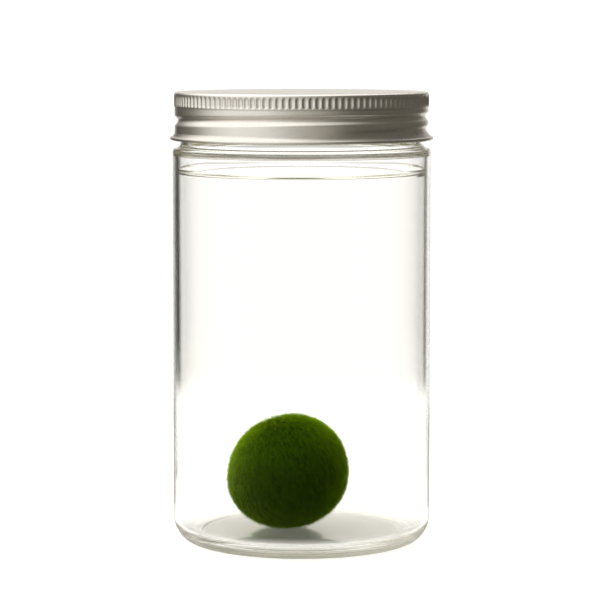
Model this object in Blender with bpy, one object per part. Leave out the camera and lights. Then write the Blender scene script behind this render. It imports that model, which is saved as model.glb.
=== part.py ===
# A marimo moss ball lying in its screw-top glass jar of water.
# Metres, +Z up. The origin is the centre of the jar's foot, on the surface that it stands on.
import math

import bmesh
import bpy
from mathutils import Matrix, Vector

MM = 0.001
FULL_TURN = 2.0 * math.pi
QUARTER_TURN = 0.5 * math.pi

# Clearance between pieces that touch
GAP = 0.3 * MM
MERGE_DISTANCE = 0.001 * MM

# Jar body
JAR_RADIUS = 41.5 * MM
JAR_WALL = 2.2 * MM
JAR_SIDES = 44
FOOT_CORNER_WIDTH = 7.5 * MM
FOOT_CORNER_HEIGHT = 8.5 * MM
FOOT_RING_INNER = 29.5 * MM
FOOT_RECESS_RADIUS = 27.0 * MM
FOOT_RECESS_DEPTH = 0.8 * MM
FLOOR_HEIGHT = 3.8 * MM
FLOOR_FILLET = 7.0 * MM
SHOULDER_TOP = 127.4 * MM
SHOULDER_ROUND = 1.2 * MM
SHOULDER_INSIDE_HEIGHT = 3.0 * MM

# Jar neck and its thread
NECK_RADIUS = 39.15 * MM
NECK_BORE_RADIUS = 37.0 * MM
NECK_FOOT_HEIGHT = 1.1 * MM
MOUTH_HEIGHT = 143.4 * MM
LIP_ROUND = 0.6 * MM
THREAD_PITCH = 5.08 * MM
THREAD_RIDGE_RISE = 0.6 * MM
THREAD_RIDGE_HALF_WIDTH = 1.25 * MM
THREAD_RIDGE_START = -0.5
THREAD_RIDGE_END = 0.9
THREAD_FADE = 0.08
RIDGE_ROWS = 11
RIDGE_ROWS_BOTTOM = 131.9 * MM
RIDGE_ROWS_TOP = 141.9 * MM

# Lid
LID_TOP = 145.3 * MM
LID_SHEET = 0.35 * MM
LID_SKIRT_SHEET = 0.3 * MM
LID_SIDES = 62
LID_RADIUS = 40.85 * MM
LID_TOP_ROUND = 0.9 * MM
FLUTE_TOP = 144.5 * MM
FLUTE_BOTTOM = 140.6 * MM
FLUTE_DEPTH = 0.3 * MM
FLUTE_EDGE = 0.4 * MM
FLUTE_BACKING_RADIUS = 40.2 * MM
SKIRT_RADIUS = 40.7 * MM
SKIRT_TOP = 140.2 * MM
SKIRT_ROWS = 9
SKIRT_ROWS_TOP = 138.7 * MM
SKIRT_ROWS_BOTTOM = 132.3 * MM
CURL_RADIUS = 0.62 * MM
CURL_CENTRE_RADIUS = 41.63 * MM
CURL_CENTRE_HEIGHT = 130.5 * MM

# The lid's rolled thread groove, and the ring groove that it runs into
GROOVE_HEIGHT_AT_FRONT_RIGHT = 134.0 * MM
GROOVE_DEPTH = 0.95 * MM
GROOVE_HALF_WIDTH = 1.7 * MM
GROOVE_START = -0.2
GROOVE_END = 0.85
GROOVE_FADE = 0.3
RING_GROOVE_HEIGHT = 137.4 * MM
RING_GROOVE_DEPTH = 0.35 * MM
RING_GROOVE_HALF_WIDTH = 1.2 * MM
RIDGE_ABOVE_GROOVE = 2.1 * MM

# Liner in the lid
LINER_RADIUS = 39.8 * MM
LINER_SIDES = 44

# Water
WATER_HEIGHT = 119.0 * MM
MENISCUS_RISE = 0.9 * MM
MENISCUS_WIDTH = 2.4 * MM

# Moss ball: the fibre tips lie on a flattened ball that leans a little
BALL_LONG_RADIUS = 19.9 * MM
BALL_SHORT_RADIUS = 18.7 * MM
BALL_DEPTH_RADIUS = 19.4 * MM
BALL_LEAN = math.radians(-16.0)
BALL_PLACE_X = -4.6 * MM
BALL_PLACE_Y = 0.0
BALL_MERIDIANS = 22
BALL_RINGS = 12


def clear_scene():
    for old in list(bpy.data.objects):
        bpy.data.objects.remove(old, do_unlink=True)


def paint(obj, colour, roughness, metallic=0.0, transmission=0.0, ior=1.45):
    material = bpy.data.materials.new(obj.name)
    material.use_nodes = True
    shader = material.node_tree.nodes["Principled BSDF"]
    shader.inputs["Base Color"].default_value = (*colour, 1.0)
    shader.inputs["Roughness"].default_value = roughness
    shader.inputs["Metallic"].default_value = metallic
    shader.inputs["Transmission Weight"].default_value = transmission
    shader.inputs["IOR"].default_value = ior
    obj.data.materials.append(material)


def add_object(name, bm, sharp_angle=math.radians(35.0)):
    mesh = bpy.data.meshes.new(name)
    bm.to_mesh(mesh)
    bm.free()
    mesh.shade_smooth()
    mesh.set_sharp_from_angle(angle=sharp_angle)
    obj = bpy.data.objects.new(name, mesh)
    bpy.context.scene.collection.objects.link(obj)
    return obj


def arc(centre_radius, centre_height, width, height, start, end, steps):
    # Points on a quarter or part of an ellipse, from the start angle to the end angle
    points = []
    for step in range(steps + 1):
        angle = start + (end - start) * step / steps
        points.append((centre_radius + width * math.cos(angle), centre_height + height * math.sin(angle)))
    return points


def rows(radius, first_height, last_height, count):
    # Evenly spaced points on a straight wall
    step = (last_height - first_height) / (count - 1)
    return [(radius, first_height + step * index) for index in range(count)]


def spin_profile(profile, sides):
    # Turns a profile of (radius, height) points, which starts and ends on the axis, into a closed body
    bm = bmesh.new()
    verts = [bm.verts.new((radius, 0.0, height)) for radius, height in profile]
    edges = [bm.edges.new(pair) for pair in zip(verts, verts[1:])]
    bmesh.ops.spin(
        bm,
        geom=verts + edges,
        cent=(0.0, 0.0, 0.0),
        axis=(0.0, 0.0, 1.0),
        angle=FULL_TURN,
        steps=sides,
        use_merge=True,
    )
    bmesh.ops.remove_doubles(bm, verts=bm.verts, dist=MERGE_DISTANCE)
    bmesh.ops.recalc_face_normals(bm, faces=bm.faces)
    return bm


def hump(distance, half_width):
    # A smooth bump: 1 in the middle, 0 from half_width on
    if abs(distance) >= half_width:
        return 0.0
    return 0.5 + 0.5 * math.cos(math.pi * distance / half_width)


def fade(turn, start, end, length):
    # Rises from 0 to 1 after the start of a thread and falls to 0 before its end
    rise = min(max((turn - start) / length, 0.0), 1.0)
    fall = min(max((end - turn) / THREAD_FADE, 0.0), 1.0)
    return rise * fall


def helix_bump(angle, height, height_at_zero, half_width, start, end, fade_length):
    # Height of a helical bump at a place on the neck. Turns are counted from +X, and the nearest
    # turn of the helix is the one that the place belongs to
    nearest = round((height - height_at_zero) / THREAD_PITCH - angle / FULL_TURN)
    turn = angle / FULL_TURN + nearest
    distance = height - (height_at_zero + THREAD_PITCH * turn)
    return hump(distance, half_width) * fade(turn, start, end, fade_length)


def move_radially(bm, low, high, inner_limit, offset):
    # Moves the points between two heights in or out by offset(angle, height)
    for vert in bm.verts:
        radius = math.hypot(vert.co.x, vert.co.y)
        if low <= vert.co.z <= high and radius > inner_limit:
            angle = math.atan2(vert.co.y, vert.co.x) % FULL_TURN
            scale = (radius + offset(angle, vert.co.z)) / radius
            vert.co.x *= scale
            vert.co.y *= scale


def thread_ridge(angle, height):
    height_at_zero = GROOVE_HEIGHT_AT_FRONT_RIGHT + RIDGE_ABOVE_GROOVE
    bump = helix_bump(
        angle, height, height_at_zero, THREAD_RIDGE_HALF_WIDTH, THREAD_RIDGE_START, THREAD_RIDGE_END, THREAD_FADE
    )
    return THREAD_RIDGE_RISE * bump


def lid_grooves(angle, height):
    screw = helix_bump(
        angle, height, GROOVE_HEIGHT_AT_FRONT_RIGHT, GROOVE_HALF_WIDTH, GROOVE_START, GROOVE_END, GROOVE_FADE
    )
    ring = hump(height - RING_GROOVE_HEIGHT, RING_GROOVE_HALF_WIDTH)
    return -max(GROOVE_DEPTH * screw, RING_GROOVE_DEPTH * ring)


def floor_profile(inset):
    # The jar's floor and the fillet up to its wall, moved inwards by inset, from the axis outwards
    centre_radius = JAR_RADIUS - JAR_WALL - FLOOR_FILLET
    centre_height = FLOOR_HEIGHT + FLOOR_FILLET
    radius = FLOOR_FILLET - inset
    curve = arc(centre_radius, centre_height, radius, radius, -QUARTER_TURN, 0.0, 4)
    return [(0.0, FLOOR_HEIGHT + inset)] + curve


def build_jar():
    corner_radius = JAR_RADIUS - FOOT_CORNER_WIDTH
    bore = JAR_RADIUS - JAR_WALL
    foot = [
        (0.0, FOOT_RECESS_DEPTH),
        (FOOT_RECESS_RADIUS, FOOT_RECESS_DEPTH),
        (FOOT_RING_INNER, 0.0),
    ]
    corner = arc(
        corner_radius, FOOT_CORNER_HEIGHT, FOOT_CORNER_WIDTH, FOOT_CORNER_HEIGHT, -QUARTER_TURN, 0.0, 4
    )
    shoulder = arc(
        JAR_RADIUS - SHOULDER_ROUND, SHOULDER_TOP - SHOULDER_ROUND, SHOULDER_ROUND, SHOULDER_ROUND,
        0.0, QUARTER_TURN, 3,
    )
    neck_foot = [(NECK_RADIUS, SHOULDER_TOP + NECK_FOOT_HEIGHT)]
    neck = rows(NECK_RADIUS, RIDGE_ROWS_BOTTOM, RIDGE_ROWS_TOP, RIDGE_ROWS)
    lip_outside = arc(
        NECK_RADIUS - LIP_ROUND, MOUTH_HEIGHT - LIP_ROUND, LIP_ROUND, LIP_ROUND, 0.0, QUARTER_TURN, 2
    )
    lip_inside = arc(
        NECK_BORE_RADIUS + LIP_ROUND, MOUTH_HEIGHT - LIP_ROUND, LIP_ROUND, LIP_ROUND,
        QUARTER_TURN, 2.0 * QUARTER_TURN, 2,
    )
    shoulder_inside = arc(
        NECK_BORE_RADIUS, SHOULDER_TOP - SHOULDER_INSIDE_HEIGHT, bore - NECK_BORE_RADIUS,
        SHOULDER_INSIDE_HEIGHT, QUARTER_TURN, 0.0, 3,
    )
    inside = list(reversed(floor_profile(0.0)))
    profile = foot + corner + shoulder + neck_foot + neck + lip_outside + lip_inside + shoulder_inside + inside
    bm = spin_profile(profile, JAR_SIDES)
    move_radially(bm, RIDGE_ROWS_BOTTOM - GAP, RIDGE_ROWS_TOP + GAP, NECK_RADIUS - GAP, thread_ridge)
    jar = add_object("jar", bm)
    paint(jar, (0.93, 0.95, 0.92), 0.03, transmission=1.0, ior=1.5)
    return jar


def cut_flutes(bm):
    # Splits each side of the fluted band in two, then sinks a pocket into every half
    def on_band(vert):
        at_edge = abs(vert.co.z - FLUTE_TOP) < GAP or abs(vert.co.z - FLUTE_BOTTOM) < GAP
        return at_edge and math.hypot(vert.co.x, vert.co.y) > LID_RADIUS - GAP

    band = [face for face in bm.faces if all(on_band(vert) for vert in face.verts)]
    level = {
        edge for face in band for edge in face.edges if abs(edge.verts[0].co.z - edge.verts[1].co.z) < GAP
    }
    bmesh.ops.subdivide_edges(bm, edges=list(level), cuts=1, use_grid_fill=True)
    band = [face for face in bm.faces if all(on_band(vert) for vert in face.verts)]
    for vert in {vert for face in band for vert in face.verts}:
        scale = LID_RADIUS / math.hypot(vert.co.x, vert.co.y)
        vert.co.x *= scale
        vert.co.y *= scale
    bm.normal_update()
    bmesh.ops.inset_individual(bm, faces=band, thickness=FLUTE_EDGE, depth=-FLUTE_DEPTH, use_even_offset=True)


def build_lid():
    inner_skirt = SKIRT_RADIUS - LID_SKIRT_SHEET
    top = [(0.0, LID_TOP)] + arc(
        LID_RADIUS - LID_TOP_ROUND, FLUTE_TOP, LID_TOP_ROUND, LID_TOP - FLUTE_TOP, QUARTER_TURN, 0.0, 2
    )
    band = [(LID_RADIUS, FLUTE_BOTTOM), (SKIRT_RADIUS, SKIRT_TOP)]
    skirt = rows(SKIRT_RADIUS, SKIRT_ROWS_TOP, SKIRT_ROWS_BOTTOM, SKIRT_ROWS)
    curl = arc(
        CURL_CENTRE_RADIUS, CURL_CENTRE_HEIGHT, CURL_RADIUS, CURL_RADIUS,
        math.radians(110.0), math.radians(-170.0), 6,
    )
    inside = rows(inner_skirt, SKIRT_ROWS_BOTTOM, SKIRT_ROWS_TOP, SKIRT_ROWS)
    under_top = [
        (FLUTE_BACKING_RADIUS, FLUTE_BOTTOM),
        (FLUTE_BACKING_RADIUS, LID_TOP - LID_SHEET),
        (0.0, LID_TOP - LID_SHEET),
    ]
    bm = spin_profile(top + band + skirt + curl + inside + under_top, LID_SIDES)
    move_radially(bm, SKIRT_ROWS_BOTTOM - GAP, SKIRT_ROWS_TOP + GAP, inner_skirt - GAP, lid_grooves)
    cut_flutes(bm)
    lid = add_object("lid", bm)
    paint(lid, (0.62, 0.6, 0.56), 0.35, metallic=1.0)
    return lid


def build_liner():
    bottom = MOUTH_HEIGHT + GAP
    top = LID_TOP - LID_SHEET - GAP
    profile = [(0.0, bottom), (LINER_RADIUS, bottom), (LINER_RADIUS, top), (0.0, top)]
    liner = add_object("liner", spin_profile(profile, LINER_SIDES))
    paint(liner, (0.86, 0.86, 0.83), 0.6)
    return liner


def ball_frame():
    # Where the ball's centre is: its lowest point hangs one gap above the floor
    reach_down = math.hypot(BALL_LONG_RADIUS * math.sin(BALL_LEAN), BALL_SHORT_RADIUS * math.cos(BALL_LEAN))
    centre = Vector((BALL_PLACE_X, BALL_PLACE_Y, FLOOR_HEIGHT + GAP + reach_down))
    return centre, Matrix.Rotation(BALL_LEAN, 4, "Y")


def build_ball(name, extra):
    # A flattened ball with its size written into its mesh, leaning about the front-back axis
    centre, lean = ball_frame()
    bm = bmesh.new()
    bmesh.ops.create_uvsphere(bm, u_segments=BALL_MERIDIANS, v_segments=BALL_RINGS, radius=1.0)
    size = (BALL_LONG_RADIUS + extra, BALL_DEPTH_RADIUS + extra, BALL_SHORT_RADIUS + extra)
    bmesh.ops.scale(bm, vec=size, verts=bm.verts)
    ball = add_object(name, bm, sharp_angle=math.pi)
    ball.matrix_world = Matrix.Translation(centre) @ lean
    return ball


def build_water():
    wall = JAR_RADIUS - JAR_WALL - GAP
    surface_edge = wall - MENISCUS_WIDTH
    meniscus = [
        (wall, WATER_HEIGHT + MENISCUS_RISE),
        (wall - MENISCUS_WIDTH / 3.0, WATER_HEIGHT + MENISCUS_RISE / 3.0),
        (surface_edge, WATER_HEIGHT),
        (0.0, WATER_HEIGHT),
    ]
    bm = spin_profile(floor_profile(GAP) + meniscus, JAR_SIDES)
    water = add_object("water", bm)
    paint(water, (0.97, 0.99, 0.97), 0.0, transmission=1.0, ior=1.333)
    pocket = build_ball("ball_pocket", GAP)
    pocket.hide_render = True
    pocket.display_type = "WIRE"
    cut = water.modifiers.new("pocket", "BOOLEAN")
    cut.operation = "DIFFERENCE"
    cut.solver = "EXACT"
    cut.object = pocket
    return water


def main():
    clear_scene()
    build_jar()
    build_lid()
    build_liner()
    build_water()
    ball = build_ball("moss_ball", 0.0)
    paint(ball, (0.06, 0.13, 0.01), 0.9)


main()
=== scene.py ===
import math

import bpy
import numpy as np
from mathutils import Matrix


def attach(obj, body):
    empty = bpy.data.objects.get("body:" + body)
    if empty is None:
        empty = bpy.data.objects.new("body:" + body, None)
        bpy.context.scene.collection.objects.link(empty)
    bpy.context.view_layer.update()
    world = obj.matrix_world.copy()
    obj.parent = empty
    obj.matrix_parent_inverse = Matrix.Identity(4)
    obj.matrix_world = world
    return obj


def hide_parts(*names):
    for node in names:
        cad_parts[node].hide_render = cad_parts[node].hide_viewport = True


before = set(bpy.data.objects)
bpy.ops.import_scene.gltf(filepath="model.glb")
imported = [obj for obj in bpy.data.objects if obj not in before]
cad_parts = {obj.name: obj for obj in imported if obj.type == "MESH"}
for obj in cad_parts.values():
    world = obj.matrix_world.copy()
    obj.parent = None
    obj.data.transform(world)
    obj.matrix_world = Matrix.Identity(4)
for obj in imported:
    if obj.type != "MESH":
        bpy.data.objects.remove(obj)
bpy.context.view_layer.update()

mm = 0.001
closeTo = 0.01                # millimetres by which a profile's point may miss a radius
fullTurn = 2.0 * math.pi
quarterTurn = 0.5 * math.pi


# Curves for profiles, as (radius, height) points in millimetres

def arc(centreRadius, centreHeight, width, height, startDegrees, endDegrees, steps):
    # Part of an ellipse: centre + (width cos a, height sin a), a running from start to end
    a = np.radians(np.linspace(startDegrees, endDegrees, steps + 1))
    return np.column_stack([centreRadius + width * np.cos(a), centreHeight + height * np.sin(a)])


def straight(start, end, steps):
    # Evenly spaced points from start to end, both included
    share = np.linspace(0.0, 1.0, steps + 1)[:, None]
    return (1.0 - share) * np.array(start, float) + share * np.array(end, float)


def easedStep(start, end, steps):
    # From start to end with the height eased by half a cosine, so that both ends lie level
    share = np.linspace(0.0, 1.0, steps + 1)
    eased = 0.5 - 0.5 * np.cos(math.pi * share)
    radius = start[0] + (end[0] - start[0]) * share
    height = start[1] + (end[1] - start[1]) * eased
    return np.column_stack([radius, height])


def joined(*parts):
    # One profile from several, without the points that two of them share
    points = np.vstack(parts)
    gap = np.linalg.norm(np.diff(points, axis=0), axis=1)
    return points[np.concatenate([[True], gap > 1e-6])]


# Meshes from whole arrays

def meshObject(name, points, quads, triangles, smoothAngle=None):
    # Points in metres and faces as rows of their numbers. Edges over smoothAngle degrees stay sharp
    mesh = bpy.data.meshes.new(name)
    corners = np.concatenate([quads.ravel(), triangles.ravel()]).astype(np.int32)
    counts = np.concatenate([np.full(len(quads), 4), np.full(len(triangles), 3)])
    starts = np.concatenate([[0], np.cumsum(counts)[:-1]]).astype(np.int32)
    mesh.vertices.add(len(points))
    mesh.vertices.foreach_set("co", points.astype(np.float32).ravel())
    mesh.loops.add(len(corners))
    mesh.loops.foreach_set("vertex_index", corners)
    mesh.polygons.add(len(counts))
    mesh.polygons.foreach_set("loop_start", starts)
    mesh.update(calc_edges=True)
    mesh.shade_smooth()
    if smoothAngle is not None:
        mesh.set_sharp_from_angle(angle=math.radians(smoothAngle))
    obj = bpy.data.objects.new(name, mesh)
    bpy.context.scene.collection.objects.link(obj)
    return obj


def ringFaces(rowCount, sides):
    # Quads between rowCount rings, whose points come row by row, and the fans that close both ends. The
    # pole below the first ring is the first point after the rings, the pole above the last ring the second
    here = np.arange(sides)
    after = (here + 1) % sides
    row = np.arange(rowCount - 1)[:, None] * sides
    corners = [row + here, row + after, row + sides + after, row + sides + here]
    lastRow = (rowCount - 1) * sides
    pole = rowCount * sides
    fans = np.vstack([
        np.column_stack([after, here, np.full(sides, pole)]),
        np.column_stack([lastRow + here, lastRow + after, np.full(sides, pole + 1)]),
    ])
    return np.stack(corners, axis=-1).reshape(-1, 4), fans


def aroundAxis(profile, sides):
    # The angle of each side, and the profile's radius and height repeated for every side
    radius = np.repeat(profile[:, :1], sides, axis=1)
    height = np.repeat(profile[:, 1:], sides, axis=1)
    return np.arange(sides) * fullTurn / sides, radius, height


def turnedBody(name, radius, height, sides, smoothAngle=None):
    # A closed body of rings: x = r cos a, y = r sin a, z = h, with r and h given for each row and side.
    # The first and last rows are the poles. Rows that run up the outside make faces point outwards
    a = np.arange(sides) * fullTurn / sides
    rings = np.stack([radius * np.cos(a), radius * np.sin(a), height], axis=-1)
    inner = rings[1:-1].reshape(-1, 3)
    points = np.vstack([inner, rings[0].mean(axis=0), rings[-1].mean(axis=0)]) * mm
    quads, fans = ringFaces(len(rings) - 2, sides)
    return meshObject(name, points, quads, fans, smoothAngle)


def turned(name, profile, sides, smoothAngle=None):
    # The profile turned round the Z axis
    radius, height = aroundAxis(profile, sides)[1:]
    return turnedBody(name, radius, height, sides, smoothAngle)


# Thread shapes, shared by the jar and the lid

thread = dict(
    pitch=5.08,
    levelling=24.0,           # how sharply a helix levels out
)

groove = dict(
    atRight=133.75,           # height of the lid's groove at +X
    depth=1.05,
    above=1.6,                # how far the groove reaches above and below its bottom
    below=2.2,
    turns=(-0.22, 1.34),
    fadeIn=0.3,
    fadeOut=0.3,
    level=0.76,               # the groove stops climbing after this many turns
)

ridge = dict(
    atRight=136.1,            # height of the glass thread's ridge at +X
    rise=0.6,
    above=1.25,
    below=1.25,
    turns=(-0.5, 0.9),
    fadeIn=0.08,
    fadeOut=0.08,
    level=5.0,
)


def helixBump(angle, height, s):
    # The helix's height is atRight + pitch * (turn - ln(1 + e^(sharp (turn - level))) / sharp), so it
    # climbs one pitch a turn and then stays level. The distance from it in height goes through half a
    # cosine, 1 on the helix and 0 at its reach above and below, and fades at the helix's ends. Of the
    # turns at one angle, the strongest counts
    bump = np.zeros_like(height)
    sharp = thread["levelling"]
    for lap in (-1, 0, 1):
        turn = angle / fullTurn + lap
        climbed = turn - np.logaddexp(0.0, (turn - s["level"]) * sharp) / sharp
        distance = height - (s["atRight"] + thread["pitch"] * climbed)
        near = np.clip(np.where(distance > 0.0, distance / s["above"], -distance / s["below"]), 0.0, 1.0)
        rise = np.clip((turn - s["turns"][0]) / s["fadeIn"], 0.0, 1.0)
        fall = np.clip((s["turns"][1] - turn) / s["fadeOut"], 0.0, 1.0)
        bump = np.maximum(bump, (0.5 + 0.5 * np.cos(math.pi * near)) * rise * fall)
    return bump


# Shader maths as expressions

class Wire:
    # One output of a node. Expressions on wires add Math nodes
    def __init__(self, tree, socket):
        self.tree = tree
        self.socket = socket

    def joinedBy(self, operation, first, second=0.0):
        settings = dict(operation=operation)
        return self.tree.add("ShaderNodeMath", settings, {0: first, 1: second})

    def __add__(self, other):
        return self.joinedBy("ADD", self, other)

    def __radd__(self, other):
        return self.joinedBy("ADD", other, self)

    def __sub__(self, other):
        return self.joinedBy("SUBTRACT", self, other)

    def __rsub__(self, other):
        return self.joinedBy("SUBTRACT", other, self)

    def __mul__(self, other):
        return self.joinedBy("MULTIPLY", self, other)

    def __rmul__(self, other):
        return self.joinedBy("MULTIPLY", other, self)

    def __truediv__(self, other):
        return self.joinedBy("DIVIDE", self, other)

    def __rtruediv__(self, other):
        return self.joinedBy("DIVIDE", other, self)

    def __pow__(self, other):
        return self.joinedBy("POWER", self, other)

    def atLeast(self, other):
        return self.joinedBy("MAXIMUM", self, other)


class Tree:
    # Adds nodes to one material or to the world
    def __init__(self, nodeTree):
        self.nodeTree = nodeTree
        nodeTree.nodes.clear()

    def node(self, kind, settings=None, sockets=None):
        node = self.nodeTree.nodes.new(kind)
        for name, value in (settings or {}).items():
            setattr(node, name, value)
        for name, value in (sockets or {}).items():
            if isinstance(value, Wire):
                self.nodeTree.links.new(value.socket, node.inputs[name])
            else:
                node.inputs[name].default_value = value
        return node

    def add(self, kind, settings=None, sockets=None, output=0):
        return Wire(self, self.node(kind, settings, sockets).outputs[output])

    def place(self, output="Object"):
        return self.add("ShaderNodeTexCoord", output=output)

    def parts(self, vector):
        split = self.node("ShaderNodeSeparateXYZ", None, {0: vector})
        return [Wire(self, socket) for socket in split.outputs]

    def noise(self, vector, scale, detail=2.0, roughness=0.5):
        sockets = {"Vector": vector, "Scale": scale, "Detail": detail, "Roughness": roughness}
        return self.add("ShaderNodeTexNoise", None, sockets)

    def ramp(self, value, low, high, start=0.0, end=1.0):
        # start below low, end above high, with a smooth step between
        settings = dict(interpolation_type="SMOOTHSTEP")
        sockets = {"Value": value, "From Min": low, "From Max": high, "To Min": start, "To Max": end}
        return self.add("ShaderNodeMapRange", settings, sockets)

    def rampMm(self, value, edges, start=0.0, end=1.0):
        # The same between two lengths given in millimetres
        return self.ramp(value, edges[0] * mm, edges[1] * mm, start, end)

    def blend(self, share, first, second):
        # Mixes two colours
        sockets = {0: share, 6: paint(first), 7: paint(second)}
        return self.add("ShaderNodeMix", dict(data_type="RGBA"), sockets, output=2)

    def bump(self, height, distance, strength=1.0):
        sockets = {"Height": height, "Distance": distance, "Strength": strength}
        return self.add("ShaderNodeBump", None, sockets)

    def mixed(self, share, first, second):
        # Mixes two shaders
        return self.add("ShaderNodeMixShader", None, {0: share, 1: first, 2: second})


def paint(colour):
    # A colour with its alpha of 1, or the wire that carries one
    return colour if isinstance(colour, Wire) else (*colour, 1.0)


def newMaterial(name):
    material = bpy.data.materials.new(name)
    material.use_nodes = True
    return material, Tree(material.node_tree)


def output(tree, surface, volume=None):
    sockets = {"Surface": surface}
    if volume is not None:
        sockets["Volume"] = volume
    tree.node("ShaderNodeOutputMaterial", None, sockets)


def clearMaterial(name, look, groundPart=None, polishedPart=None, otherPart=None):
    # See-through body: a Principled shader with full transmission and plain absorption. groundPart gives
    # where the surface is ground, polishedPart where it has a coat, and otherPart where it has another IOR.
    # Light shines through it in shadows, so that what it holds is lit
    material, tree = newMaterial(name)
    place = tree.place()
    x, y, z = tree.parts(place)
    radius = (x * x + y * y) ** 0.5
    ripple = tree.noise(place, look["rippleScale"], detail=1.0)
    normal = tree.bump(ripple, look["rippleHeight"])
    marks = tree.noise(place, look["marksScale"], detail=3.0)
    marked = look["roughness"] + look["marksRoughness"]
    rough = tree.ramp(marks, *look["marksRange"], look["roughness"], marked)
    if groundPart is not None:
        rough = rough + groundPart(tree, radius, z) * look["groundRoughness"]
    sockets = {
        "Base Color": paint((1.0, 1.0, 1.0)),
        "Roughness": rough,
        "IOR": look["ior"],
        "Specular Tint": paint((look["gloss"],) * 3),
        "Transmission Weight": 1.0,
        "Normal": normal,
    }
    if polishedPart is not None:
        sockets.update({
            "Coat Weight": polishedPart(tree, radius, z),
            "Coat Roughness": look["polishRoughness"],
            "Coat IOR": look["polishIor"],
        })
    body = tree.add("ShaderNodeBsdfPrincipled", None, sockets)
    if otherPart is not None:
        other = tree.add("ShaderNodeBsdfPrincipled", None, {**sockets, "IOR": look["otherIor"]})
        body = tree.mixed(otherPart(tree, radius, z), body, other)
    passing = tree.add("ShaderNodeBsdfTransparent", None, {"Color": paint(look["shadow"])})
    shadowRay = tree.add("ShaderNodeLightPath", output="Is Shadow Ray")
    absorbed = tree.add("ShaderNodeVolumeAbsorption", None, {
        "Color": paint(look["tint"]),
        "Density": look["density"],
    })
    output(tree, tree.mixed(shadowRay, body, passing), absorbed)
    return material


def wear(obj, material, body, slotName, *nodes):
    # The piece gets its material and its body, and the CAD nodes that it stands for are hidden
    obj.data.materials.clear()
    obj.data.materials.append(material)
    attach(obj, body)
    if nodes:
        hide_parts(*nodes)


# Jar

jarValues = dict(
    radius=41.5,
    wall=1.9,
    sides=288,
    footCornerWidth=7.5,
    footCornerHeight=8.5,
    heelRings=10,
    heelRingsEnd=0.7,         # the share of the heel that the rings cover, from below
    heelRingDepth=0.09,
    footRingInner=33.5,
    recessRadius=30.5,
    recessDepth=0.8,
    floorHeight=3.8,
    floorFillet=4.0,
    shoulderTop=127.4,
    shoulderRound=0.9,
    shoulderInside=3.0,
    neckRadius=39.15,
    neckFootHeight=1.3,
    neckBore=37.0,
    mouth=143.4,
    lipRound=0.6,
    rowPitch=0.2,
    # The glass
    ior=1.5,
    gloss=0.03,               # how much of the usual gloss the clear front has
    polishRoughness=0.16,     # the coat on the level floor inside, which mirrors the ball softly
    polishIor=1.6,
    tint=(0.66, 0.64, 0.44),
    density=8.0,
    shadow=(0.985, 0.985, 0.975),
    roughness=0.0,
    groundRoughness=0.34,     # the foot's underside
    floorShare=0.4,           # how much of that the level floor inside has
    floorEdge=(-2.0, 0.5),    # the coat fades over this range round the flat floor's edge
    floorBelow=(-0.5, -0.3),  # and between these heights below and above the floor
    floorAbove=(0.3, 0.6),
    groundEdge=2.0,           # how far beyond the recess the ground part fades
    groundAbove=(1.2, 1.4),
    marksRoughness=0.015,
    marksRange=(0.55, 0.8),
    marksScale=60.0,
    rippleScale=45.0,
    rippleHeight=0.00002,
)


def floorProfile(inset):
    # The jar's floor from the axis outwards and the fillet up to its wall, moved inwards by inset
    s = jarValues
    centreRadius = s["radius"] - s["wall"] - s["floorFillet"]
    centreHeight = s["floorHeight"] + s["floorFillet"]
    fillet = s["floorFillet"] - inset
    level = s["floorHeight"] + inset
    return joined(
        straight((0.0, level), (centreRadius, level), steps=6),
        arc(centreRadius, centreHeight, fillet, fillet, -90.0, 0.0, steps=18),
    )


def jarProfile():
    # The glass's section from the axis under the foot, up the outside, over the lip and down the inside
    # to the axis again: straight stretches, quarters of ellipses and one eased step
    s = jarValues
    bore = s["radius"] - s["wall"]
    neckFoot = s["shoulderTop"] + s["neckFootHeight"]
    shoulderEdge = s["radius"] - s["shoulderRound"]
    ridgeTop = s["mouth"] - s["lipRound"]
    neckRows = int((ridgeTop - neckFoot) / s["rowPitch"])
    heelCentre = np.array([s["radius"] - s["footCornerWidth"], s["footCornerHeight"]])
    heel = arc(*heelCentre, s["footCornerWidth"], s["footCornerHeight"], -90.0, 0.0, steps=60)
    # Shallow rings from the mould go round the heel: the depth follows sin^2 along it
    along = np.linspace(0.0, 1.0, len(heel))
    depth = s["heelRingDepth"] * np.sin(math.pi * s["heelRings"] * along) ** 2.0
    depth = depth * (along < s["heelRingsEnd"])
    heel = heel - depth[:, None] * (heel - heelCentre) / s["footCornerHeight"]
    foot = joined(
        straight((0.0, s["recessDepth"]), (s["recessRadius"], s["recessDepth"]), steps=5),
        easedStep((s["recessRadius"], s["recessDepth"]), (s["footRingInner"], 0.0), steps=10),
        heel,
    )
    shoulder = joined(
        arc(shoulderEdge, s["shoulderTop"] - s["shoulderRound"], s["shoulderRound"], s["shoulderRound"],
            0.0, 90.0, steps=8),
        arc(shoulderEdge, neckFoot, shoulderEdge - s["neckRadius"], s["neckFootHeight"],
            -90.0, -180.0, steps=8),
    )
    lip = joined(
        arc(s["neckRadius"] - s["lipRound"], ridgeTop, s["lipRound"], s["lipRound"], 0.0, 90.0, steps=6),
        arc(s["neckBore"] + s["lipRound"], ridgeTop, s["lipRound"], s["lipRound"], 90.0, 180.0, steps=6),
    )
    insideTop = arc(s["neckBore"], s["shoulderTop"] - s["shoulderInside"], bore - s["neckBore"],
                    s["shoulderInside"], 90.0, 0.0, steps=12)
    neck = straight((s["neckRadius"], neckFoot), (s["neckRadius"], ridgeTop), neckRows)
    return joined(foot, shoulder, neck, lip, insideTop, floorProfile(0.0)[::-1])


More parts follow.
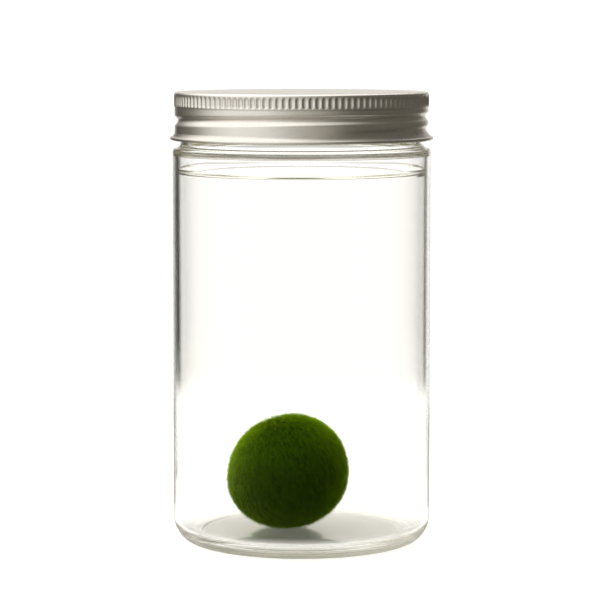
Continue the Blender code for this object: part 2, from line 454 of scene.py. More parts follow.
def makeJar():
    # The section turned round the axis, with rise * bump added to the neck's radius for its thread
    s = jarValues
    profile = jarProfile()
    a, radius, height = aroundAxis(profile, s["sides"])
    neckFoot = s["shoulderTop"] + s["neckFootHeight"]
    onNeck = (profile[:, :1] > s["neckRadius"] - closeTo) & (profile[:, 1:] > neckFoot)
    radius = radius + ridge["rise"] * helixBump(a, height, ridge) * onNeck
    jar = turnedBody("jarGlass", radius, height, s["sides"], smoothAngle=50.0)
    wear(jar, clearMaterial("clearGlass", jarValues, groundFloor, levelFloor), "jar", "jar_glass", "jar")
    print("jar:", len(jar.data.polygons), "faces")


def levelFloor(tree, radius, height):
    # 1 on the level floor inside the jar, 0 on its fillet
    s = jarValues
    level = s["floorHeight"] * mm
    flat = s["radius"] - s["wall"] - s["floorFillet"]
    (edgeIn, edgeOut), (low, high), (upper, top) = s["floorEdge"], s["floorBelow"], s["floorAbove"]
    inside = tree.ramp(radius, (flat + edgeIn) * mm, (flat + edgeOut) * mm, 1.0, 0.0)
    onFloor = tree.ramp(height, level + low * mm, level + high * mm)
    return inside * onFloor * tree.ramp(height, level + upper * mm, level + top * mm, 1.0, 0.0)


def groundFloor(tree, radius, height):
    # 1 on the recess under the foot, less on the level floor inside
    s = jarValues
    edge = tree.rampMm(radius, (s["recessRadius"], s["recessRadius"] + s["groundEdge"]), 1.0, 0.0)
    under = tree.rampMm(height, s["groundAbove"], 1.0, 0.0) * edge
    return under + levelFloor(tree, radius, height) * s["floorShare"]


# Water

waterValues = dict(
    level=119.0,
    meniscusRise=1.9,
    meniscusWidth=3.2,
    meniscusRows=17,
    clearance=0.02,           # between the water and the glass
    sides=192,
    # What it looks like
    ior=1.002,                # far below real water's, because the photograph shows no lens effect
    gloss=1.0,
    otherIor=1.333,           # the open surface, which starts between these heights beside the level
    surfaceFrom=(-0.3, -0.2),
    tint=(0.985, 0.975, 0.90),
    density=8.0,
    shadow=(0.99, 1.0, 0.99),
    roughness=0.0,
    marksRoughness=0.0,
    marksRange=(0.55, 0.8),
    marksScale=20.0,
    rippleScale=25.0,
    rippleHeight=0.00001,
)


def makeWater():
    # The jar's floor and wall a clearance further in, and the surface. It climbs towards the glass as
    # level + rise * (1 - share)^3, where share runs over the meniscus's width
    s = waterValues
    edge = jarValues["radius"] - jarValues["wall"] - s["clearance"]
    share = np.linspace(0.0, 1.0, s["meniscusRows"])
    meniscus = np.column_stack([
        edge - s["meniscusWidth"] * share,
        s["level"] + s["meniscusRise"] * (1.0 - share) ** 3,
    ])
    surface = straight(meniscus[-1], (0.0, s["level"]), steps=5)
    profile = joined(floorProfile(s["clearance"]), meniscus, surface)
    water = turned("clearWater", profile, s["sides"], smoothAngle=40.0)
    still = clearMaterial("stillWater", waterValues, otherPart=openSurface)
    wear(water, still, "jar", "water", "water")
    print("water:", len(water.data.polygons), "faces")


def openSurface(tree, radius, height):
    # 1 on the water's top
    return tree.rampMm(height, waterValues["level"] + np.array(waterValues["surfaceFrom"]))


# Lid

lidValues = dict(
    top=145.3,
    sheet=0.35,
    skirtSheet=0.3,
    radius=40.85,
    topRound=0.9,
    flutes=124,
    columnsPerFlute=8,
    fluteTop=144.4,
    fluteBottom=140.7,
    fluteDepth=0.40,
    fluteShare=0.88,          # how much of a flute's pitch its pocket fills
    fluteEnds=3.0,            # above 2 the pocket's ends are blunter than an ellipse's
    fluteFloor=0.8,           # below 1 the pocket's bottom is flatter
    backingRadius=40.2,
    skirtRadius=40.72,
    skirtTop=139.6,
    stepHeight=0.4,           # the small step below the flutes
    bandGap=0.1,              # from the skirt's last row to the band's first one
    skirtBottom=132.2,
    curlRadius=0.62,
    curlCentre=(41.63, 130.5),
    curlSweep=(-170.0, 110.0),
    # The metal
    colour=(0.80, 0.775, 0.72),
    worn=(0.745, 0.715, 0.66),
    roughness=0.27,
    roughnessSpread=0.08,
    cloudShare=0.6,           # what clouds do to the roughness, beside the spun marks
    grainShare=0.6,           # and what the grain does to the relief
    roughRange=(0.35, 0.65),
    wornRange=(0.4, 0.62),
    grainScale=2600.0,
    grainHeight=0.0000015,
    spunScale=5200.0,
    cloudScale=55.0,
)


def flutePockets(angle, height):
    # Oval pockets side by side: depth (1 - x^2 - |z|^ends)^floor, with x across and z along a pocket
    s = lidValues
    across = (angle / fullTurn * s["flutes"]) % 1.0 * 2.0 - 1.0
    middle = 0.5 * (s["fluteTop"] + s["fluteBottom"])
    along = (height - middle) / (0.5 * (s["fluteTop"] - s["fluteBottom"]))
    oval = np.abs(across / s["fluteShare"]) ** 2.0 + np.abs(along) ** s["fluteEnds"]
    return -s["fluteDepth"] * np.clip(1.0 - oval, 0.0, 1.0) ** s["fluteFloor"]


def makeLid():
    # The sheet's section from the axis under the top, down the inside, round the curl and up the outside
    # to the axis again, turned round the axis. On the skirt the radius has depth * bump taken off for the
    # rolled thread, and on the band it has the pockets added
    s = lidValues
    sides = s["flutes"] * s["columnsPerFlute"]
    innerSkirt = s["skirtRadius"] - s["skirtSheet"]
    topEdge = s["top"] - s["topRound"]
    underTop = s["top"] - s["sheet"]
    inside = joined(
        straight((0.0, underTop), (s["backingRadius"], underTop), steps=1),
        straight((s["backingRadius"], underTop), (s["backingRadius"], s["fluteBottom"]), steps=1),
        straight((innerSkirt, s["skirtTop"]), (innerSkirt, s["skirtBottom"]), steps=15),
    )
    curl = arc(*s["curlCentre"], s["curlRadius"], s["curlRadius"], *s["curlSweep"], steps=14)
    skirt = straight((s["skirtRadius"], s["skirtBottom"]), (s["skirtRadius"], s["skirtTop"]), steps=30)
    stepFoot = (s["skirtRadius"], s["fluteBottom"] - s["stepHeight"])
    band = joined(
        straight((s["skirtRadius"], s["skirtTop"] + s["bandGap"]), stepFoot, steps=2),
        easedStep(stepFoot, (s["radius"], s["fluteBottom"]), steps=3),
        straight((s["radius"], s["fluteBottom"]), (s["radius"], topEdge), steps=16),
    )
    top = joined(
        arc(s["radius"] - s["topRound"], topEdge, s["topRound"], s["topRound"], 0.0, 90.0, steps=6),
        straight((s["radius"] - s["topRound"], s["top"]), (0.0, s["top"]), steps=2),
    )
    profile = joined(inside, curl, skirt, band, top)
    a, radius, height = aroundAxis(profile, sides)
    onSkirt = (profile[:, 1:] >= s["skirtBottom"]) & (profile[:, 1:] <= s["skirtTop"])
    rolled = onSkirt & (profile[:, :1] > innerSkirt - closeTo)
    fluted = profile[:, :1] > s["radius"] - closeTo
    radius = radius - groove["depth"] * helixBump(a, height, groove) * rolled
    radius = radius + flutePockets(a, height) * fluted
    lid = turnedBody("screwLid", radius, height, sides, smoothAngle=60.0)
    wear(lid, satinAluminium(), "lid", "lid_aluminium", "lid")
    print("lid:", len(lid.data.polygons), "faces")


def satinAluminium():
    look = lidValues
    material, tree = newMaterial("satinAluminium")
    place = tree.place()
    x, y, z = tree.parts(place)
    radius = (x * x + y * y) ** 0.5
    # Spun marks follow the radius on the top, the grain is a fine frosting everywhere
    section = tree.add("ShaderNodeCombineXYZ", None, {0: radius, 1: z, 2: 0.0})
    marks = tree.noise(section, look["spunScale"])
    grain = tree.noise(place, look["grainScale"])
    cloud = tree.noise(place, look["cloudScale"], detail=3.0)
    mottled = cloud * look["cloudShare"] + marks * (1.0 - look["cloudShare"])
    rough = tree.ramp(mottled, *look["roughRange"], look["roughness"],
                      look["roughness"] + look["roughnessSpread"])
    worn = tree.ramp(cloud * 0.5 + grain * 0.5, *look["wornRange"])
    colour = tree.blend(worn, look["colour"], look["worn"])
    relief = grain * look["grainShare"] + marks * (1.0 - look["grainShare"])
    normal = tree.bump(relief, look["grainHeight"])
    metal = tree.add("ShaderNodeBsdfPrincipled", None, {
        "Base Color": colour,
        "Metallic": 1.0,
        "Roughness": rough,
        "Normal": normal,
    })
    output(tree, metal)
    return material


# Liner

linerValues = dict(
    bottom=143.7,
    top=144.65,
    radius=39.8,
    edgeRound=0.3,
    sides=160,
    # The foam
    dark=(0.80, 0.80, 0.76),
    light=(0.88, 0.88, 0.85),
    cellScale=1800.0,
    cellDepth=0.00003,
    cellStrength=0.5,
    cellEdge=0.7,
    cloudScale=120.0,
    roughness=(0.5, 0.75),
)


def makeLiner():
    # A disc with quarter circles at its edges, turned round the axis
    s = linerValues
    edge = s["radius"] - s["edgeRound"]
    profile = joined(
        straight((0.0, s["bottom"]), (edge, s["bottom"]), steps=3),
        arc(edge, s["bottom"] + s["edgeRound"], s["edgeRound"], s["edgeRound"], -90.0, 0.0, steps=4),
        arc(edge, s["top"] - s["edgeRound"], s["edgeRound"], s["edgeRound"], 0.0, 90.0, steps=4),
        straight((edge, s["top"]), (0.0, s["top"]), steps=3),
    )
    liner = turned("sealingLiner", profile, s["sides"], smoothAngle=60.0)
    material, tree = newMaterial("whiteFoam")
    place = tree.place()
    cells = tree.add("ShaderNodeTexVoronoi", None, {"Vector": place, "Scale": s["cellScale"]})
    clouds = tree.noise(place, s["cloudScale"], detail=3.0)
    foam = tree.add("ShaderNodeBsdfPrincipled", None, {
        "Base Color": tree.blend(clouds, s["dark"], s["light"]),
        "Roughness": tree.ramp(cells, 0.0, s["cellEdge"], *s["roughness"]),
        "Normal": tree.bump(cells, s["cellDepth"], s["cellStrength"]),
    })
    output(tree, foam)
    wear(liner, material, "lid_carrier", "liner_foam", "liner")
    print("liner:", len(liner.data.polygons), "faces")


# Moss ball: a dense ball of fibres over a felted core

mossValues = dict(
    longRadius=20.7,
    shortRadius=19.4,
    depthRadius=20.0,
    leanDegrees=-23.0,
    placeX=-4.4,
    sinks=1.1,                # how far the soft tips press down on the jar's floor
    sag=0.075,                # how much wider its weight makes the ball's lower half
    sagFrom=0.3,              # the heights where that starts and is complete, as shares of its radius
    sagTo=-1.0,
    coreShare=0.84,           # the felted core's size beside the surface that the fibre tips reach
    coreLumps=0.008,
    coreWaves=(30, 8.0, 26.0),    # how many waves make the lumps, and their lowest and highest frequency
    coreRows=80,
    coreColumns=160,
    rootDepth=0.02,           # how far below the core's surface the fibres start, as a share
    swirl=0.12,               # how much the combing swirls
    swirlWaves=(12, 2.0, 5.5),
    crown=0.15,               # below this the combing gets shorter towards a crown
    rootNudge=1.5,            # how far the roots are from even spacing
    lockNudge=0.8,
    lockReach=(0.8, 0.4),     # a lock's reach is the first plus a share of the second
    lockTone=0.45,            # how much of a strand's tone it has from its lock
    steps=(0.0, 0.3, 0.6, 0.85, 1.0),   # the rows of a strand from root to tip
    overFloor=0.06,
    quickShare=6,
    seed=20,
    coreSeed=70,
    # Colours and light
    # root is painted shade: the colour deep in the fur, where little light reaches; dark is the painted
    # shaded side and the darker clumps
    root=(0.002, 0.006, 0.0002),
    dark=(0.0035, 0.013, 0.0002),
    body=(0.018, 0.077, 0.0007),
    tip=(0.04, 0.12, 0.001),
    deep=(0.007, 0.032, 0.0003),  # the light that comes through a strand, low down and at its tip, painted weaker low down where the fur shades it
    shine=(0.60, 0.95, 0.008),
    through=0.78,
    paintedLight=(8.0, 38.0),        # painted light: from the shaded to the fully lit colour, in millimetres towards the light
    paintedLightWay=(-0.25, 0.95),   # left and up, towards the light
    paintedLightShare=0.8,           # how much of a strand's colour is painted light from its place, beside its tone and its clump
    paintedShadeShare=0.4,          # what the painted shaded side keeps of the tips' colour and of the glow
    clumpWeights=(0.6, 0.8),  # of a strand's tone and of its clump
    clumpRange=(0.45, 1.0),
    rootShadeRange=(0.05, 0.5),    # the parts of a strand's length where its colours change, the first out of the root's painted shade
    tipWeights=(0.8, 0.3),    # of the place along the strand and of its tone
    tipRange=(0.6, 1.1),
    glowRange=(0.25, 0.9),
    roughness=(0.6, 0.8),
    feltRoughness=(0.8, 0.95),
    clumpScale=320.0,
    feltScale=900.0,
    feltDepth=0.0004,
    feltRange=(0.2, 0.8),
)

# Numbers that scatter needs, and the salts that keep its uses apart
scatterWave = np.array([12.9898, 78.233, 37.719])
scatterMultiple = 43758.5453
salts = dict(nudge=(1.0, 2.0, 3.0), tone=5.0, reach=7.0, tips=9.0)

# Fibres, from the undercoat through two long coats to the few short tips that stand out. Widths are half
# widths in millimetres, reach is how far round the ball a fibre lies, in radians, and tips are shares of the
# ball's size. Stray spreads its direction and twist turns it about itself. Lock is how far its tip is drawn
# to the middle of its lock, whose size is cell in millimetres and whose height differs by uneven. Lift is
# how steeply it leaves the core, and comb the way the fur lies, which differs from layer to layer, so that
# the crowns, where strands part, lie apart
furLayers = [
    dict(count=26000, width=(0.08, 0.13), reach=(0.10, 0.20), tips=(0.880, 0.910), stray=0.22, twist=1.2,
         lock=0.2, cell=1.0, lift=2.0, uneven=0.01, comb=(0.15, -0.45, -1.0)),
    dict(count=27000, width=(0.06, 0.10), reach=(0.20, 0.36), tips=(0.905, 0.945), stray=0.10, twist=1.1,
         lock=0.35, cell=0.8, lift=1.6, uneven=0.02, comb=(-0.20, -0.10, -1.0)),
    dict(count=24000, width=(0.05, 0.08), reach=(0.26, 0.44), tips=(0.932, 0.968), stray=0.10, twist=1.3,
         lock=0.35, cell=0.8, lift=1.35, uneven=0.03, comb=(0.20, -0.55, -1.0)),
    dict(count=5200, width=(0.07, 0.11), reach=(0.04, 0.10), tips=(0.966, 1.000), stray=0.35, twist=1.5,
         lock=0.0, cell=0.9, lift=1.1, uneven=0.0, comb=(0.0, -0.2, -1.0)),
]


def ballFrame():
    # Centre and axes of the ball, which its weight presses a little onto the jar's floor
    s = mossValues
    lean = math.radians(s["leanDegrees"])
    reach = math.hypot(s["longRadius"] * math.sin(lean), s["shortRadius"] * math.cos(lean))
    centre = np.array([s["placeX"], 0.0, jarValues["floorHeight"] - s["sinks"] + reach])
    turn = np.array([
        [math.cos(lean), 0.0, math.sin(lean)],
        [0.0, 1.0, 0.0],
        [-math.sin(lean), 0.0, math.cos(lean)],
    ])
    return centre, turn, np.array([s["longRadius"], s["depthRadius"], s["shortRadius"]])


def onBall(direction, share):
    # centre + turn (share * radii * direction): share 1 is the surface that the fibre tips reach. Sideways
    # the ball is wider by sag * d^2 (3 - 2 d), where d goes from 0 at sagFrom to 1 at sagTo
    centre, turn, radii = ballFrame()
    offset = (direction * radii * share[..., None]) @ turn.T
    s = mossValues
    low = (s["sagFrom"] - offset[..., 2:] / radii[2]) / (s["sagFrom"] - s["sagTo"])
    low = np.clip(low, 0.0, 1.0)
    wider = 1.0 + s["sag"] * low ** 2 * (3.0 - 2.0 * low)
    return centre + offset * np.concatenate([wider, wider, np.ones_like(wider)], axis=-1)


def unit(vectors):
    # Each vector over its length
    return vectors / np.maximum(np.linalg.norm(vectors, axis=-1, keepdims=True), 1e-9)


def waves(direction, rng, count, low, high):
    # Smooth noise on the ball: a sum of plane waves with seeded directions, lengths and phases
    frequency = unit(rng.normal(size=(count, 3))) * rng.uniform(low, high, (count, 1))
    phase = rng.uniform(0.0, fullTurn, count)
    return np.cos(direction @ frequency.T + phase).sum(axis=1) / math.sqrt(count)


def spreadOut(count, rng):
    # Evenly spread directions along a spiral of golden turns, each nudged a little
    index = np.arange(count) + 0.5
    height = 1.0 - 2.0 * index / count
    angle = index * math.pi * (3.0 - math.sqrt(5.0))
    flat = np.sqrt(1.0 - height ** 2)
    spots = np.column_stack([flat * np.cos(angle), flat * np.sin(angle), height])
    return unit(spots + rng.normal(size=(count, 3)) * mossValues["rootNudge"] / math.sqrt(count))


def combing(direction, down, rng):
    # Which way the fur lies: the direction down plus soft swirls, without its part along the ball's own
    # direction. It is shorter near the crown, where that leaves little
    s = mossValues
    swirl = np.column_stack([waves(direction, rng, *s["swirlWaves"]) for _ in range(3)])
    flow = np.array(down) + s["swirl"] * swirl
    along = flow - (flow * direction).sum(axis=1, keepdims=True) * direction
    strength = np.linalg.norm(along, axis=1, keepdims=True)
    return along / np.maximum(strength, 1e-6) * np.minimum(1.0, strength / s["crown"])


def scatter(cell, salt):
    # A fixed share of 0 to 1 for each cell: the fraction of a large multiple of sin(cell . wave + salt)
    value = np.sin(cell @ scatterWave + salt) * scatterMultiple
    return value - np.floor(value)


def locks(direction, cellSize):
    # Cells in space that cut the ball into locks: each one's middle, nudged, as a direction, and its number
    size = cellSize / mossValues["longRadius"]
    cell = np.floor(direction / size)
    nudge = np.column_stack([scatter(cell, salt) for salt in salts["nudge"]]) - 0.5
    return unit((cell + 0.5 + mossValues["lockNudge"] * nudge) * size), cell


def furPiece(name, index, layer, material):
    # Each strand is a tapered ribbon: it leaves the core steeply and lies over along the comb. Its direction
    # at t is start + t * reach * comb, where start slides from the root towards the middle of its lock as
    # t grows, and its share of the ball's size goes from root to tip as 1 - (1 - t)^lift. Its rows are two
    # points wide, as sqrt(1 - t), and its tip is one point
    s = mossValues
    rng = np.random.default_rng(s["seed"] + 1 + index)
    count = layer["count"] // 1
    root = spreadOut(count, rng)
    middle, cell = locks(root, layer["cell"])
    combRng = np.random.default_rng(s["seed"])
    comb = combing(root, layer["comb"], combRng) + layer["stray"] * rng.normal(size=(count, 3))
    lockTone = scatter(cell, salts["tone"])
    lockReach = s["lockReach"][0] + s["lockReach"][1] * scatter(cell, salts["reach"])
    reach = rng.uniform(*layer["reach"], count) * lockReach
    lockHeight = layer["uneven"] * (scatter(cell, salts["tips"]) - 0.5)
    tips = np.minimum(rng.uniform(*layer["tips"], count) + lockHeight, 1.0)[:, None]
    t = np.array(s["steps"])
    lean = layer["lock"] * t[:, None]
    start = root[:, None] * (1.0 - lean) + middle[:, None] * lean
    direction = unit(start + (reach[:, None] * t)[..., None] * comb[:, None])
    base = s["coreShare"] - s["rootDepth"]
    spine = onBall(direction, base + (tips - base) * (1.0 - (1.0 - t) ** layer["lift"]))
    outward = unit(spine[:, len(t) // 2] - ballFrame()[0])
    lie = unit(spine[:, -1] - spine[:, 0])
    side = unit(np.cross(lie, outward))
    twist = rng.uniform(-layer["twist"], layer["twist"], count)[:, None]
    side = unit(side * np.cos(twist) + np.cross(lie, side) * np.sin(twist))
    width = rng.uniform(*layer["width"], count)[:, None] * np.sqrt(1.0 - t[:-1])
    half = width[..., None] * side[:, None]
    edges = np.stack([spine[:, :-1] - half, spine[:, :-1] + half], axis=2).reshape(count, -1, 3)
    points = np.concatenate([edges, spine[:, -1:]], axis=1)
    # Strands that reach the jar's floor lie on it
    points[..., 2] = np.maximum(points[..., 2], jarValues["floorHeight"] + s["overFloor"])
    each = points.shape[1]
    first = (np.arange(count) * each)[:, None]
    quads = np.vstack([first + np.array([0, 1, 3, 2]) + step for step in range(0, each - 3, 2)])
    triangles = first + np.arange(each - 3, each)
    fur = meshObject(name, points.reshape(-1, 3) * mm, quads, triangles)
    along = np.tile(np.append(np.repeat(t[:-1], 2), t[-1]), count)
    ownTone = rng.uniform(0.0, 1.0, count)
    tone = np.repeat((1.0 - s["lockTone"]) * ownTone + s["lockTone"] * lockTone, each)
    for label, values in (("strandLength", along), ("strandTone", tone)):
        values = values.astype(np.float32)
        fur.data.attributes.new(label, "FLOAT", "POINT").data.foreach_set("value", values)
    wear(fur, material, "jar", "moss")
    return fur


def mossCore(material):
    # The felted inside: the ball's own form with small lumps
    s = mossValues
    rows, columns = s["coreRows"], s["coreColumns"]
    tilt = np.linspace(-quarterTurn, quarterTurn, rows)[:, None]
    angle = np.arange(columns) * fullTurn / columns
    direction = np.stack([np.cos(tilt) * np.cos(angle), np.cos(tilt) * np.sin(angle),
                          np.sin(tilt) * np.ones(columns)], axis=-1)
    rng = np.random.default_rng(s["coreSeed"])
    flat = direction.reshape(-1, 3)
    share = s["coreShare"] * (1.0 + s["coreLumps"] * waves(flat, rng, *s["coreWaves"]))
    points = onBall(flat, share).reshape(rows, columns, 3)
    points[0] = points[0, 0]
    points[-1] = points[-1, 0]
    inner = points[1:-1].reshape(-1, 3)
    quads, fans = ringFaces(rows - 2, columns)
    core = meshObject("mossCore", np.vstack([inner, points[0, :1], points[-1, :1]]) * mm, quads, fans)
    wear(core, material, "jar", "moss", "moss_ball")
    print("moss core:", len(core.data.polygons), "faces")


def mossFibreMaterial():
    look = mossValues
    material, tree = newMaterial("mossFibre")
    along = tree.add("ShaderNodeAttribute", dict(attribute_name="strandLength"), output="Fac")
    tone = tree.add("ShaderNodeAttribute", dict(attribute_name="strandTone"), output="Fac")
    place = tree.place()
    clumps = tree.noise(place, look["clumpScale"])
    # Painted light: the moss is coloured lighter and fuller on its upper left, where the light falls, and
    # darker on its lower right, as if in shade
    x, _, z = tree.parts(place)
    high = z * look["paintedLightWay"][1] + x * look["paintedLightWay"][0]
    paintedLight = tree.rampMm(high, look["paintedLight"]) ** 2.0
    ownShare, clumpShare = look["clumpWeights"]
    clumped = tree.ramp(tone * ownShare + clumps * clumpShare, *look["clumpRange"])
    shade = paintedLight * look["paintedLightShare"] + clumped * (1.0 - look["paintedLightShare"])
    middle = tree.blend(shade, look["dark"], look["body"])
    # Painted shade: each strand darkens towards its root, deep in the fur
    low = tree.blend(tree.ramp(along, *look["rootShadeRange"]), look["root"], middle)
    # Painted light and shade: the tips' colour and the light through a strand fade on the shaded lower right
    paintedTipLight = look["paintedShadeShare"] + (1.0 - look["paintedShadeShare"]) * paintedLight
    alongShare, toneShare = look["tipWeights"]
    tips = tree.ramp(along * alongShare + tone * toneShare, *look["tipRange"]) * paintedTipLight
    colour = tree.blend(tips, low, look["tip"])
    # Painted shade: the light through a strand is weaker low down in the fur, and on the shaded side
    glow = tree.blend(tree.ramp(along, *look["glowRange"]) * paintedTipLight, look["deep"], look["shine"])
    front = tree.add("ShaderNodeBsdfPrincipled", None, {
        "Base Color": colour,
        "Roughness": tree.ramp(tone, 0.0, 1.0, *look["roughness"]),
        "Specular IOR Level": 0.0,
    })
    behind = tree.add("ShaderNodeBsdfTranslucent", None, {"Color": glow})
    output(tree, tree.mixed(look["through"], front, behind))
    return material


def mossCoreMaterial():
    # Felt whose colour, roughness and relief follow one noise; its colour runs from the root's painted shade
    # to the body colour
    look = mossValues
    material, tree = newMaterial("mossFelt")
    place = tree.place()
    felt = tree.noise(place, look["feltScale"], detail=4.0, roughness=0.65)
    body = tree.add("ShaderNodeBsdfPrincipled", None, {
        "Base Color": tree.blend(felt, look["root"], look["body"]),
        "Roughness": tree.ramp(felt, *look["feltRange"], *look["feltRoughness"]),
        "Specular IOR Level": 0.0,
        "Normal": tree.bump(felt, look["feltDepth"]),
    })
    output(tree, body)
    return material


def makeMoss():
    mossCore(mossCoreMaterial())
    fibre = mossFibreMaterial()
    for index, layer in enumerate(furLayers):
        fur = furPiece("mossFur" + str(index + 1), index, layer, fibre)
        print("moss fur", index + 1, ":", len(fur.data.polygons), "faces")


# Studio: a pale floor under the jar, and soft light that comes from all round

studio = dict(
    floorRadius=700.0,
    floorBelow=0.1,
    floorThick=1.0,
    floorSides=96,
    floorRoughness=0.9,
    bounced=(0.2, 0.8),       # a ramp over this turns a count of bounces into 0 for none and 1 for more
    poolCentreY=20.0,         # the lit pool on the floor lies a little behind the jar
    poolFade=(230.0, 360.0),
    poolFront=(-125.0, -99.0),
    poolBehind=(80.0, 105.0), # what the glass mirrors inside itself sees no pool from here, straight behind
    behindSide=(75.0, 115.0),
    metalSide=(112.0, 150.0), # and what the metal mirrors sees none beyond these sides
    floorColour=(0.58, 0.57, 0.54),
    floorGlow=0.84,
    glowColour=(1.0, 0.995, 0.98),
    paperScale=900.0,
    paperHeight=0.00002,
    # Painted shadows on the floor: under the jar, and darker and tinted green under the ball
    shade=(34.0, 44.0),
    shadeDepth=0.26,
    ballShade=(5.0, 34.0),
    ballShadeDepth=0.50,
    ballTint=(0.36, 0.46, 0.07),  # the floor's colour in the painted shadow under the moss, tinted green as by light bounced off it
    lowLight=(14.0, 32.0, 0.6),   # above this height in degrees the side and front lights are weaker
    backdrop=1.01,
    backdropLeft=-17.5,
    backdropRight=24.5,
    backdropEdge=1.2,
    backdropUp=(1.5, 8.0),
    backdropDown=(-26.0, -15.0),  # it ends below the table's level
    backdropAbove=0.5,        # how much of the backdrop's light is left above its bright part
    dark=0.12,
    tableShare=0.7,           # how much of the front and side light is left below the table's edge
    tableEdge=(-16.0, -9.0),
    rearward=(60.0, 80.0),    # directions behind the jar see no table
    leftFlag=-0.05,           # flags beside the backdrop, a dark one on the left and a grey one on the right
    leftFlagEdge=(-60.0, -40.0),
    rightFlag=0.10,
    rightFlagEdge=(32.0, 40.0),
    softbox=0.95,
    softboxMiddle=-120.0,
    softboxHalf=64.0,
    softboxFull=0.15,         # the share of that half width with the full light
    front=0.40,
    frontEdge=(130.0, 178.0),
    top=1.6,
    topDirection=(-0.375, 0.1, 0.92),
    topInner=28.0,
    topOuter=64.0,
    rearLight=1.2,            # high behind the jar, for the bright rim on the moss
    rearLightUp=(24.0, 38.0),
    rearLightSide=(28.0, 48.0),
    lightColour=(1.0, 0.985, 0.955),
    darkColour=(1.0, 0.93, 0.78),
    colourRange=(0.05, 0.9),  # the brightness at which each of the two colours is reached, dark one first
)


def makeFloor():
    # A thin disc that shows only where near * behind is above 0: in a pool round poolCentreY, whose edges
    # are poolFade and poolFront
    s = studio
    top = -s["floorBelow"]
    bottom = top - s["floorThick"]
    edge = s["floorRadius"]
    profile = np.array([[0.0, bottom], [edge, bottom], [edge, top], [0.0, top]])
    ground = turned("floor", profile, s["floorSides"], smoothAngle=30.0)
    material, tree = newMaterial("paleFloor")
    place = tree.place()
    x, y = tree.parts(place)[:2]
    fromPool = (x * x + (y - s["poolCentreY"] * mm) ** 2.0) ** 0.5
    fromJar = (x * x + y * y) ** 0.5
    fromBall = ((x - mossValues["placeX"] * mm) ** 2.0 + y * y) ** 0.5
    paper = tree.noise(place, s["paperScale"], detail=3.0)
    # Painted shadows of the jar and of the ball on the floor
    jarShadow = tree.rampMm(fromJar, s["shade"], s["shadeDepth"], 0.0)
    ballShadow = tree.rampMm(fromBall, s["ballShade"], s["ballShadeDepth"], 0.0)
    sheet = tree.add("ShaderNodeBsdfPrincipled", None, {
        "Base Color": tree.blend(ballShadow, s["floorColour"], s["ballTint"]),
        "Roughness": s["floorRoughness"],
        "Specular IOR Level": 0.0,
        "Normal": tree.bump(paper, s["paperHeight"]),
    })
    glow = tree.add("ShaderNodeEmission", None, {
        "Color": paint(s["glowColour"]),
        "Strength": s["floorGlow"],
    })
    lit = tree.add("ShaderNodeAddShader", None, {0: sheet, 1: glow})
    # Painted shadows: under the jar the glow is weaker, and it is weakest under the ball
    lit = tree.mixed(jarShadow + ballShadow, lit, sheet)
    nothing = tree.add("ShaderNodeBsdfTransparent")
    near = tree.rampMm(fromPool, s["poolFade"], 1.0, 0.0)
    behind = tree.rampMm(y, s["poolFront"])
    # Rays that were mirrored outside the glass, on the metal, see the floor without the pool's light
    glossyDepth = tree.add("ShaderNodeLightPath", output="Glossy Depth")
    passedDepth = tree.add("ShaderNodeLightPath", output="Transmission Depth")
    mirrored = tree.ramp(glossyDepth, *s["bounced"])
    direct = tree.ramp(passedDepth, *s["bounced"], 1.0, 0.0)
    seen = tree.mixed(mirrored * direct, lit, sheet)
    side = (x * x) ** 0.5
    beyond = tree.rampMm(y, s["poolBehind"]) * tree.rampMm(side, s["behindSide"], 1.0, 0.0)
    wide = tree.rampMm(side, s["metalSide"])
    unseen = mirrored * ((1.0 - direct) * beyond + direct * wide)
    output(tree, tree.mixed(near * behind * (1.0 - unseen), nothing, seen))
    ground.data.materials.append(material)


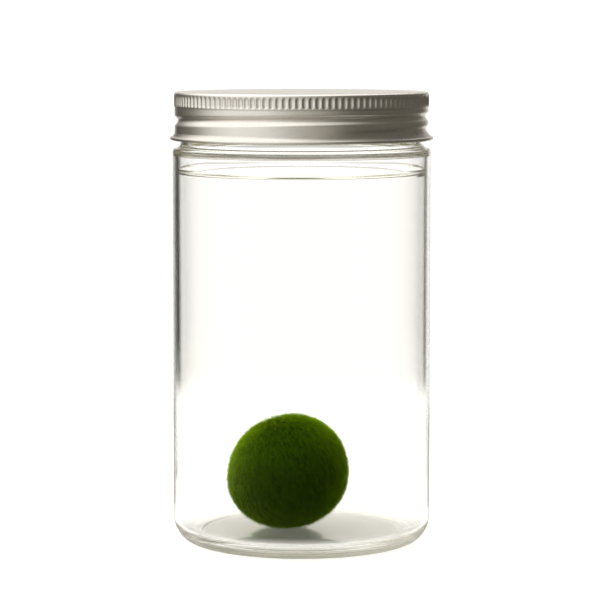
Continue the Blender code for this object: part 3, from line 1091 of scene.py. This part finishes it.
def makeWorld():
    # Brightness by direction: a white backdrop behind with a flag on each side, a broad softbox at the front
    # left, a weaker light at the front, one overhead and one high at the rear
    s = studio
    world = bpy.data.worlds.new("studio")
    world.use_nodes = True
    bpy.context.scene.world = world
    tree = Tree(world.node_tree)
    direction = tree.place("Generated")
    x, y, z = tree.parts(direction)
    azimuth = tree.add("ShaderNodeMath", dict(operation="ARCTAN2"), {0: x, 1: y}) * math.degrees(1.0)
    height = tree.add("ShaderNodeMath", dict(operation="ARCSINE"), {0: z}) * math.degrees(1.0)
    edge = s["backdropEdge"]
    fromLeft = tree.ramp(azimuth, s["backdropLeft"] - edge, s["backdropLeft"] + edge)
    fromRight = tree.ramp(azimuth, s["backdropRight"] - edge, s["backdropRight"] + edge, 1.0, 0.0)
    upwards = tree.ramp(height, *s["backdropUp"], 1.0, s["backdropAbove"])
    downwards = tree.ramp(height, *s["backdropDown"])
    back = fromLeft * fromRight * upwards * downwards * s["backdrop"]
    fromSoftbox = tree.add("ShaderNodeMath", dict(operation="ABSOLUTE"), {0: azimuth - s["softboxMiddle"]})
    fullTo = s["softboxFull"] * s["softboxHalf"]
    softbox = tree.ramp(fromSoftbox, fullTo, s["softboxHalf"], s["softbox"], 0.0)
    facing = tree.add("ShaderNodeMath", dict(operation="ABSOLUTE"), {0: azimuth})
    front = tree.ramp(facing, *s["frontEdge"], 0.0, s["front"])
    leftFlag = (1.0 - fromLeft) * tree.ramp(azimuth, *s["leftFlagEdge"]) * s["leftFlag"]
    rightFlag = (1.0 - fromRight) * tree.ramp(azimuth, *s["rightFlagEdge"], 1.0, 0.0) * s["rightFlag"]
    towards = tree.add("ShaderNodeVectorMath", dict(operation="DOT_PRODUCT"),
                       {0: direction, 1: s["topDirection"]}, output="Value")
    top = tree.ramp(towards, math.cos(math.radians(s["topOuter"])), math.cos(math.radians(s["topInner"])))
    lowLight = tree.ramp(height, s["lowLight"][0], s["lowLight"][1], 1.0, s["lowLight"][2])
    around = (softbox + front) * lowLight + s["dark"]
    aboveTable = tree.ramp(height, *s["tableEdge"])
    rearward = tree.ramp(facing, *s["rearward"], 1.0, 0.0)
    above = aboveTable.atLeast(rearward)
    room = around * (s["tableShare"] + (1.0 - s["tableShare"]) * above)
    rear = tree.ramp(facing, *s["rearLightSide"], s["rearLight"], 0.0)
    rear = rear * tree.ramp(height, *s["rearLightUp"])
    level = back + room + leftFlag + rightFlag + rear
    strength = level * (1.0 - top) + top * s["top"]
    bright = tree.ramp(strength, *s["colourRange"])
    colour = tree.blend(bright, s["darkColour"], s["lightColour"])
    light = tree.node("ShaderNodeBackground", None, {"Color": colour, "Strength": strength})
    tree.node("ShaderNodeOutputWorld", None, {"Surface": Wire(tree, light.outputs[0])})


# Camera at the photograph's place

cameraPlace = dict(
    x=-0.5,
    y=-900.0,
    z=166.4,
    downDegrees=5.6,
    lens=168.0,
    sensorWidth=36.0,
    nearest=0.05,
    farthest=50.0,
)


def makeCamera():
    s = cameraPlace
    data = bpy.data.cameras.new("camera")
    data.lens = s["lens"]
    data.sensor_width = s["sensorWidth"]
    data.clip_start = s["nearest"]
    data.clip_end = s["farthest"]
    camera = bpy.data.objects.new("camera", data)
    camera.location = (s["x"] * mm, s["y"] * mm, s["z"] * mm)
    camera.rotation_euler = (math.radians(90.0 - s["downDegrees"]), 0.0, 0.0)
    bpy.context.scene.collection.objects.link(camera)
    bpy.context.scene.camera = camera


def setRender():
    scene = bpy.context.scene
    scene.view_settings.view_transform = "Standard"
    scene.view_settings.look = "None"
    scene.cycles.max_bounces = 160
    scene.cycles.diffuse_bounces = 4
    scene.cycles.glossy_bounces = 160
    scene.cycles.transmission_bounces = 160
    scene.cycles.transparent_max_bounces = 24
    scene.cycles.use_denoising = True


makeCamera()
makeWorld()
makeFloor()
setRender()
print("studio is set")
makeJar()
makeWater()
makeLid()
makeLiner()
makeMoss()
